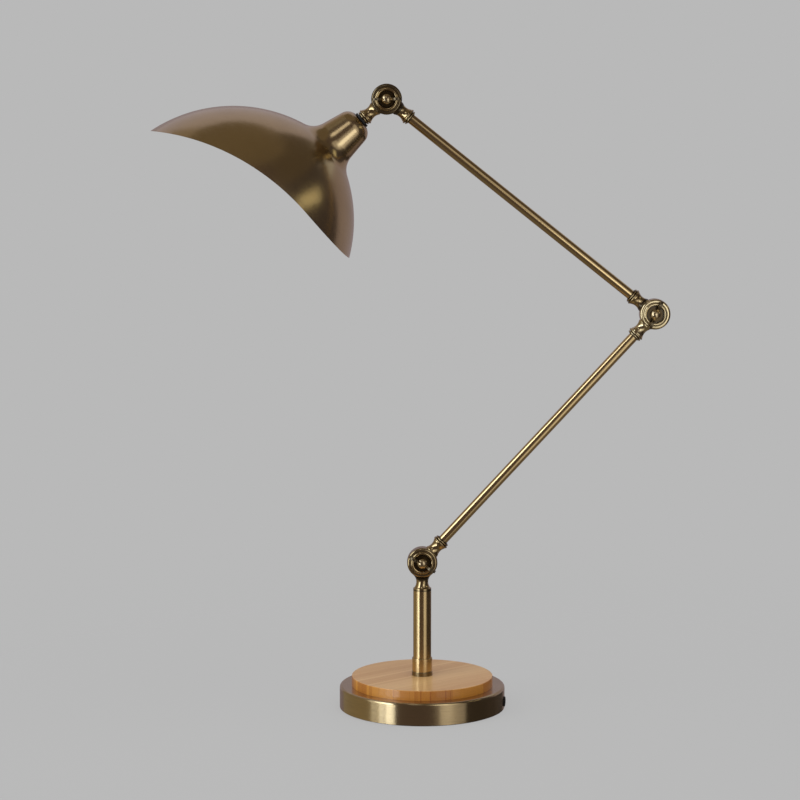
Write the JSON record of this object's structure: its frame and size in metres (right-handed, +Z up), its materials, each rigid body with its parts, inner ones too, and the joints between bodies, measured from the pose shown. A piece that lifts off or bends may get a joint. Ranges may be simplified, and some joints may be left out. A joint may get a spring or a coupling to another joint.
{
  "type": "swing arm table lamp",
  "caption": "Swing arm table lamp: weighted round base with a wooden disc, short stem, jointed arms on wing-screw knuckles and a domed hood with a visor.",
  "frame": {"origin": "centre of the base on the table", "axes": "+Z up, +X to the elbow's side, -Y the side of the wing screws; the arms swing in the plane y = 0"},
  "size_m": [0.5241, 0.2036, 0.638],
  "materials": {
    "felt": "pressed felt",
    "zinc_steel": "zinc plated",
    "cast_iron": "as cast",
    "base_brass": "antique, turned brush lines",
    "bamboo": "lacquered",
    "black_rubber": "matte",
    "stem_brass": "antique, polished",
    "tube_brass": "antique, polished",
    "knuckle_brass": "antique, polished",
    "screw_brass": "antique, polished",
    "fibre": "pressed fibre",
    "lead_insulation": "satin",
    "hood_brass": "antique, satin spun",
    "phenolic": "moulded",
    "porcelain": "unglazed",
    "contact_brass": "bright",
    "bulb_metal": "drawn",
    "opal_glass": "opal"
  },
  "bodies": {
    "base": {"base_pad": "felt", "base_plate": "zinc_steel", "base_screws": "zinc_steel", "ballast_weight": "cast_iron", "base_shell": "base_brass", "cord_grommet": "black_rubber", "wood_disc": "bamboo", "stem_nipple": "zinc_steel", "stem_washer": "zinc_steel", "stem_nut": "zinc_steel", "stem_foot": "stem_brass", "stem_tube": "stem_brass", "stem_knuckle": "knuckle_brass", "stem_leads": "lead_insulation", "pivot_nut_lower": "screw_brass", "friction_washer_lower": "fibre"},
    "lower_arm": {"lower_arm_foot_knuckle": "knuckle_brass", "lower_arm_tube": "tube_brass", "lower_arm_elbow_knuckle": "knuckle_brass", "lower_arm_leads": "lead_insulation", "hub_washer_lower": "screw_brass", "hub_washer_elbow": "screw_brass"},
    "upper_arm": {"upper_arm_elbow_knuckle": "knuckle_brass", "upper_arm_tube": "tube_brass", "upper_arm_head_knuckle": "knuckle_brass", "upper_arm_leads": "lead_insulation", "pivot_nut_elbow": "screw_brass", "pivot_nut_head": "screw_brass", "friction_washer_elbow": "fibre", "friction_washer_head": "fibre"},
    "head": {"head_knuckle": "knuckle_brass", "hub_washer_head": "screw_brass", "hood_washer": "black_rubber", "hood": "hood_brass", "head_nipple": "zinc_steel", "head_leads": "lead_insulation", "lampholder_cap": "phenolic", "lampholder_body": "phenolic", "lampholder_insert": "porcelain", "screw_shell": "contact_brass", "centre_contact": "contact_brass", "bulb_base": "bulb_metal", "bulb_globe": "opal_glass"},
    "lower_wing_screw": {"wing_screw_lower": "screw_brass"},
    "elbow_wing_screw": {"wing_screw_elbow": "screw_brass"},
    "head_wing_screw": {"wing_screw_head": "screw_brass"}
  },
  "joints": [
    {"name": "lower_knuckle", "type": "hinge", "parent": "base", "child": "lower_arm", "pos_m": [0, 0, 0.1515], "axis": [0, -1, 0], "range_deg": [-15, 40]},
    {"name": "elbow_knuckle", "type": "hinge", "parent": "lower_arm", "child": "upper_arm", "pos_m": [0.23532, 0, 0.40652], "axis": [0, -1, 0], "range_deg": [-45, 28]},
    {"name": "head_knuckle_tilt", "type": "hinge", "parent": "upper_arm", "child": "head", "pos_m": [-0.03624, 0, 0.62253], "axis": [0, -1, 0], "range_deg": [-60, 40]},
    {"name": "lower_wing_screw_turn", "type": "hinge", "parent": "base", "child": "lower_wing_screw", "pos_m": [0, 0, 0.1515], "axis": [0, -1, 0], "range_deg": [0, 180]},
    {"name": "elbow_wing_screw_turn", "type": "hinge", "parent": "upper_arm", "child": "elbow_wing_screw", "pos_m": [0.23532, 0, 0.40652], "axis": [0, -1, 0], "range_deg": [0, 180]},
    {"name": "head_wing_screw_turn", "type": "hinge", "parent": "upper_arm", "child": "head_wing_screw", "pos_m": [-0.03624, 0, 0.62253], "axis": [0, -1, 0], "range_deg": [0, 180]}
  ]
}
